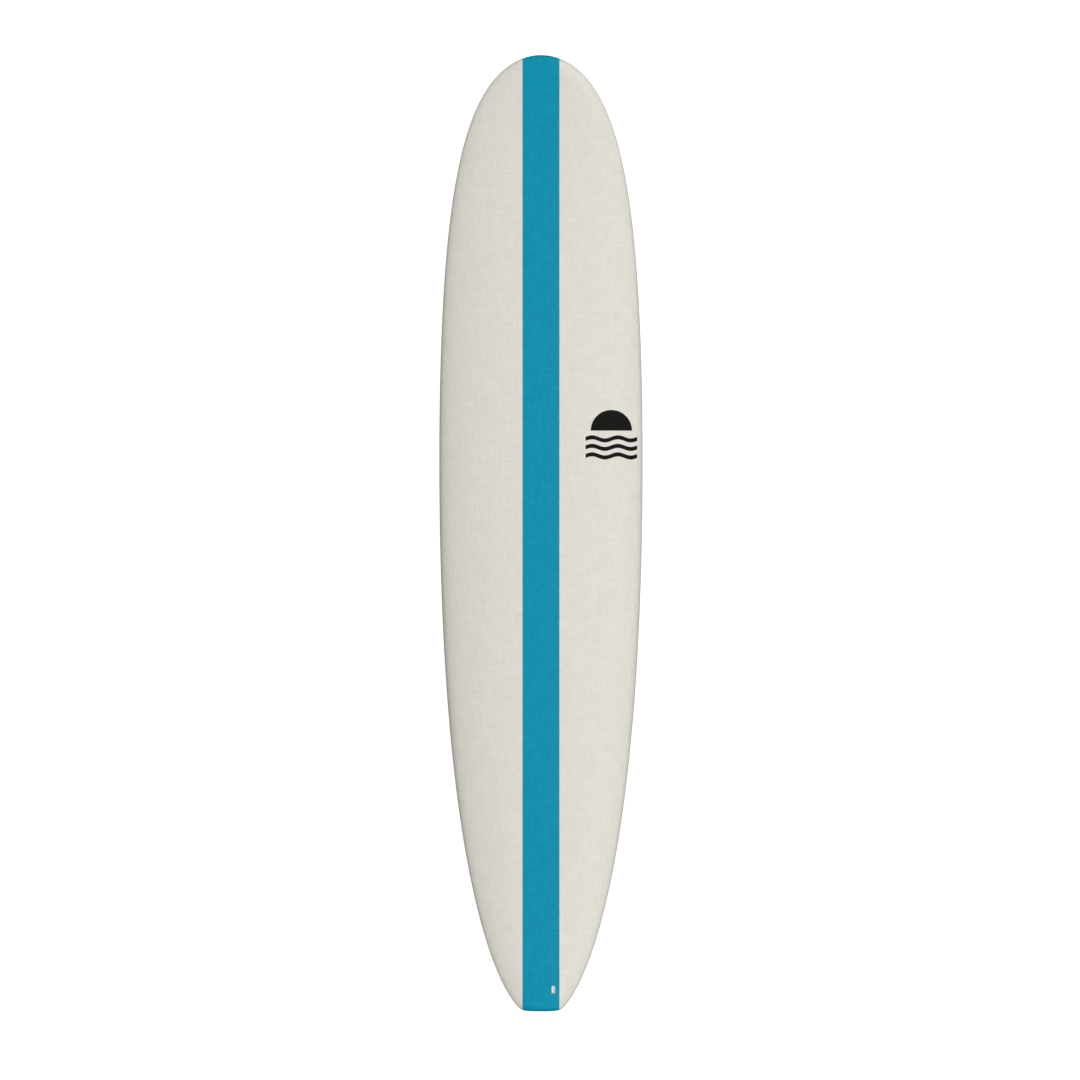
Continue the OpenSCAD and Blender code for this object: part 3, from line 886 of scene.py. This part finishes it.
def centre_fin():
    """The centre fin: its blade, the tab in the box, and the tongue that the screw goes through."""
    base, tab = 156 * MM, 9.3 * MM
    tongue, overlap = 15 * MM, 1 * MM
    tab_corner, hole_r, hole_from_base = 0.8 * MM, 2.05 * MM, 8 * MM
    b = base / 2
    d = -extent("centre_fin", BOX_AXES)[0][2] + BOX_AXES[:, 2] @ box_at
    tip = (-1.3 * b, -d)
    lead = [(b, FIN_ROOT), (0.62 * b, -0.42 * d), (-0.16 * b, -d), tip]
    trail = [(-b, FIN_ROOT), (-0.7 * b, -0.22 * d), (-0.72 * b, -0.62 * d), (-1.62 * b, -d), tip]
    place = placed(BOX_AXES, box_at)
    piece = blade("fin_centre", lead, trail, tab, 1.0, place)
    joined(piece, [
        rounded_block("tab", (tab, base), 0.5 * MM, 18 * MM, tab_corner, place, edge=0.4 * MM),
        rounded_block("tongue", (tab, tongue + 2 * overlap), 4.2 * MM, 7.7 * MM, tab_corner, place,
                      y=b + tongue / 2 - overlap, edge=0.3 * MM),
    ])
    hole_size, hole_corner = (2 * hole_r, 2 * hole_r), hole_r - 0.01 * MM
    cut(piece, [rounded_block("hole", hole_size, 3 * MM, 9 * MM, hole_corner, place, y=b + hole_from_base)])
    smooth(piece)
    return piece


def side_fin(name):
    """A side fin, flatter on its inner face, canted outwards on its tab."""
    base, thick, inner_share = 110 * MM, 6.6 * MM, 0.35
    tab, tab_depth, tab_corner = (6.8 * MM, 113 * MM), 13.4 * MM, 3.3 * MM
    turned = SIDE_AXES[name] @ np.diag([SIDES[name], 1, 1]) @ turn_y(-CANT)
    d = -extent(f"side_fin_{name}", turned)[0][2] + turned[:, 2] @ side_at[name]
    b = base / 2
    tip = (-1.18 * b, -d)
    lead = [(b, FIN_ROOT), (0.66 * b, -0.42 * d), (-0.12 * b, -d), tip]
    trail = [(-b, FIN_ROOT), (-0.74 * b, -0.2 * d), (-0.86 * b, -0.66 * d), (-1.5 * b, -d), tip]
    place = placed(turned, side_at[name])
    piece = blade(f"fin_{name}", lead, trail, thick, inner_share, place)
    joined(piece, [rounded_block("tab", tab, 0.5 * MM, tab_depth, tab_corner, place, edge=0.4 * MM)])
    smooth(piece)
    return piece


SCREW_COLUMNS = 48
ROWS_A_TURN = 8
RUN_OUT = 0.8


def round_row(r, z):
    """A ring of points at one height, at a radius that may differ from point to point."""
    around = 2 * math.pi * np.arange(SCREW_COLUMNS) / SCREW_COLUMNS
    return np.column_stack([r * np.cos(around), r * np.sin(around), np.full(SCREW_COLUMNS, z)])


def screw(name, node, joint, thread_r, root_r, pitch, head=None):
    """A threaded screw on a joint's axis, from its head or outer end inwards, as long as its CAD node."""
    z_axis = -np.array(joints[joint]["axis"], float)
    x_axis = np.cross(z_axis, (0, 1, 0))
    x_axis /= np.linalg.norm(x_axis)
    turned = np.stack([x_axis, np.cross(z_axis, x_axis), z_axis], 1)
    low, high = extent(node, turned)
    start, end = low[2], high[2]
    middle = turned.T @ np.array(joints[joint]["pos_m"], float)
    place = placed(turned, turned @ np.array([middle[0], middle[1], start]))
    lag = np.arange(SCREW_COLUMNS) / SCREW_COLUMNS
    length = end - start
    rows = []
    if head:
        head_r, head_h = head
        dome = [(head_r * math.sin(a), 0.35 * head_h * (1 - math.cos(a))) for a in np.linspace(0.05, 1.4, 8)]
        rows = [(r, z) for r, z in dome] + [(head_r, 0.45 * head_h), (head_r, head_h), (root_r, head_h)]
    thread_start = rows[-1][1] if rows else 0.0
    steps = int((length - thread_start) / (pitch / ROWS_A_TURN))
    rings = [round_row(r, z) for r, z in rows]
    for k in range(steps + 1):
        z = thread_start + (length - thread_start) * k / steps
        phase = (z / pitch - lag) % 1.0
        crest = np.clip(1.6 - 3.6 * np.abs(phase - 0.5), 0, 1)
        run_in = 1.0 if head else (z - thread_start) / (RUN_OUT * pitch)
        taper = min(1.0, (length - z) / (RUN_OUT * pitch), run_in)
        rings.append(round_row(root_r + (thread_r - root_r) * crest * max(0.0, taper), z))
    piece = lofted(name, rings, place)
    if head:
        stroke, reach, deep = 1.1 * MM, 4.6 * MM, 1.6 * MM
        cut(piece, [rounded_block("slot", size, -1 * MM, deep, 0.3 * MM, place)
                    for size in ((stroke, reach), (reach, stroke))])
    else:
        socket_r, deep = 1.45 * MM, 3 * MM
        hexagon = np.array([(socket_r * math.cos(a), socket_r * math.sin(a))
                            for a in np.arange(6) * math.pi / 3])
        cut(piece, [lofted("socket", [ring(hexagon, -1 * MM), ring(hexagon, deep)], place)])
    smooth(piece, 30)
    return piece


# ---- Putting the board together ----

def dress(piece, material):
    piece.data.materials.clear()
    piece.data.materials.append(material)


def add(piece, material, body, slot, *nodes):
    """A finished piece: its material, the body it rides on and the CAD nodes it stands for; the slot argument
    is not used.
    """
    dress(piece, material)
    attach(piece, body)
    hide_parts(*nodes)


white = laminate_material("laminate_white", LAMINATE)
box_black = moulded_material("box_black", (0.014, 0.014, 0.015))
fin_black = moulded_material("fin_black", (0.0125, 0.0125, 0.0135), grain_scale=1600, roughness=(0.3, 0.42))
plug_white = moulded_material("plug_white", (0.975, 0.975, 0.97), roughness=(0.3, 0.42), speckle=0.01)
steel = metal_material("steel", (0.58, 0.57, 0.55))
brass = metal_material("brass", (0.66, 0.47, 0.18))
resin = resin_material("resin", (0.62, 0.56, 0.38), weave=False)
glass = resin_material("bare_glass", (0.66, 0.66, 0.58), weave=True)
foam = foam_material()

deck, bottom = laminates()
add(deck, white, "board", "white_laminate", "deck_skin")
add(bottom, white, "board", "white_laminate", "bottom_skin")
add(deck_stripe(), stripe_material(), "board", "stripe_paint", "deck_stripe")
add(deck_mark(), print_material(), "board", "print_ink", "deck_decal")
add(plug_cup(), plug_white, "board", "white_plastic", "leash_plug_cup")
add(centre_fin(), fin_black, "centre_fin", "fin_plastic", "centre_fin")
box_screw = screw("screw_centre", "centre_fin_screw", "centre_screw_turn",
                  2 * MM, 1.6 * MM, 0.7 * MM, head=(3.9 * MM, 2.6 * MM))
add(box_screw, steel, "centre_screw", "stainless", "centre_fin_screw")
for name in SIDES:
    add(side_fin(name), fin_black, f"side_fin_{name}", "fin_plastic", f"side_fin_{name}")
    grub = screw(f"grub_{name}", f"side_fin_screw_{name}", f"side_screw_{name}_turn",
                 2.5 * MM, 2.1 * MM, 0.8 * MM)
    add(grub, steel, f"side_screw_{name}", "stainless", f"side_fin_screw_{name}")

CAD_LOOKS = {
    "rail_lap_left": glass, "rail_lap_right": glass, "deck_patch": glass,
    "foam_core_left": foam, "foam_core_right": foam, "stringer": wood_material(),
    "leash_plug_pin": steel, "leash_plug_bed": resin,
    "centre_fin_box": box_black, "centre_fin_box_bed": resin,
    "centre_fin_cross_pin": steel, "centre_fin_plate": brass,
    "side_fin_box_left": box_black, "side_fin_box_right": box_black,
    "side_fin_box_bed_left": resin, "side_fin_box_bed_right": resin,
}
for node, material in CAD_LOOKS.items():
    dress(frame["nodes"][node], material)


# ---- Stage, lights and camera ----

FLOOR_REACH = 30.0
FLOOR_GREY = 0.30
FLOOR_GLOW = 0.95


def make_floor():
    """A pale floor under the fins' tips. It is bright to the camera and doesn't light the board."""
    shader = Shader("floor_pale", roughness=0.9, specular=0.0)
    shader.colour((FLOOR_GREY, FLOOR_GREY, FLOOR_GREY))
    shader.principled.inputs["Emission Color"].default_value = (1, 1, 1, 1)
    shader.principled.inputs["Emission Strength"].default_value = FLOOR_GLOW
    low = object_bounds()[0].z
    corners = [(x * FLOOR_REACH, y * FLOOR_REACH, low) for x, y in ((-1, -1), (1, -1), (1, 1), (-1, 1))]
    floor = new_object("floor", corners, [(0, 1, 2, 3)])
    dress(floor, shader.material)
    floor.visible_diffuse = False
    floor.visible_glossy = False


SOFTBOXES = ((10, 0.84), (30, 0.27), (50, 0.46))
SOFTBOX_ANGLE = math.radians(28)
DOME_LOW = 0.08
DOME_HIGH = 0.72


def make_lights():
    """A dome that is brightest overhead and plain white to the camera, and three softboxes on the right."""
    world = bpy.data.worlds.new("studio")
    bpy.context.scene.world = world
    world.use_nodes = True
    nodes, links = world.node_tree.nodes, world.node_tree.links
    direction = nodes.new("ShaderNodeTexCoord").outputs["Generated"]
    split = nodes.new("ShaderNodeSeparateXYZ")
    links.new(direction, split.inputs[0])
    strength = nodes.new("ShaderNodeMapRange")
    links.new(split.outputs["Z"], strength.inputs["Value"])
    strength.inputs["To Min"].default_value = DOME_LOW
    strength.inputs["To Max"].default_value = DOME_HIGH
    seen = nodes.new("ShaderNodeMix")
    links.new(nodes.new("ShaderNodeLightPath").outputs["Is Camera Ray"], seen.inputs["Factor"])
    links.new(strength.outputs[0], seen.inputs["A"])
    seen.inputs["B"].default_value = 1.0
    background = nodes["Background"]
    background.inputs["Color"].default_value = (1, 1, 1, 1)
    links.new(seen.outputs["Result"], background.inputs["Strength"])
    for degrees, energy in SOFTBOXES:
        lamp = bpy.data.lights.new("softbox", "SUN")
        lamp.energy = energy
        lamp.angle = SOFTBOX_ANGLE
        sun = bpy.data.objects.new("softbox", lamp)
        bpy.context.collection.objects.link(sun)
        sun.rotation_euler = (0, math.radians(degrees), 0)


CAMERA_AIM = (-0.0028, -0.0189)
MIDDLE_HEIGHT = 0.111
COVERED = 3.0978


def make_camera():
    """Straight above the deck, from far enough that the view is almost parallel."""
    view = bpy.context.scene.view_settings
    view.view_transform = "Standard"
    camera = bpy.data.cameras.new("camera")
    camera.sensor_width = 36
    camera.lens = 500
    camera.clip_end = 500
    eye = bpy.data.objects.new("camera", camera)
    bpy.context.collection.objects.link(eye)
    eye.location = (*CAMERA_AIM, MIDDLE_HEIGHT + COVERED * camera.lens / camera.sensor_width)
    bpy.context.scene.camera = eye


make_floor()
make_lights()
make_camera()
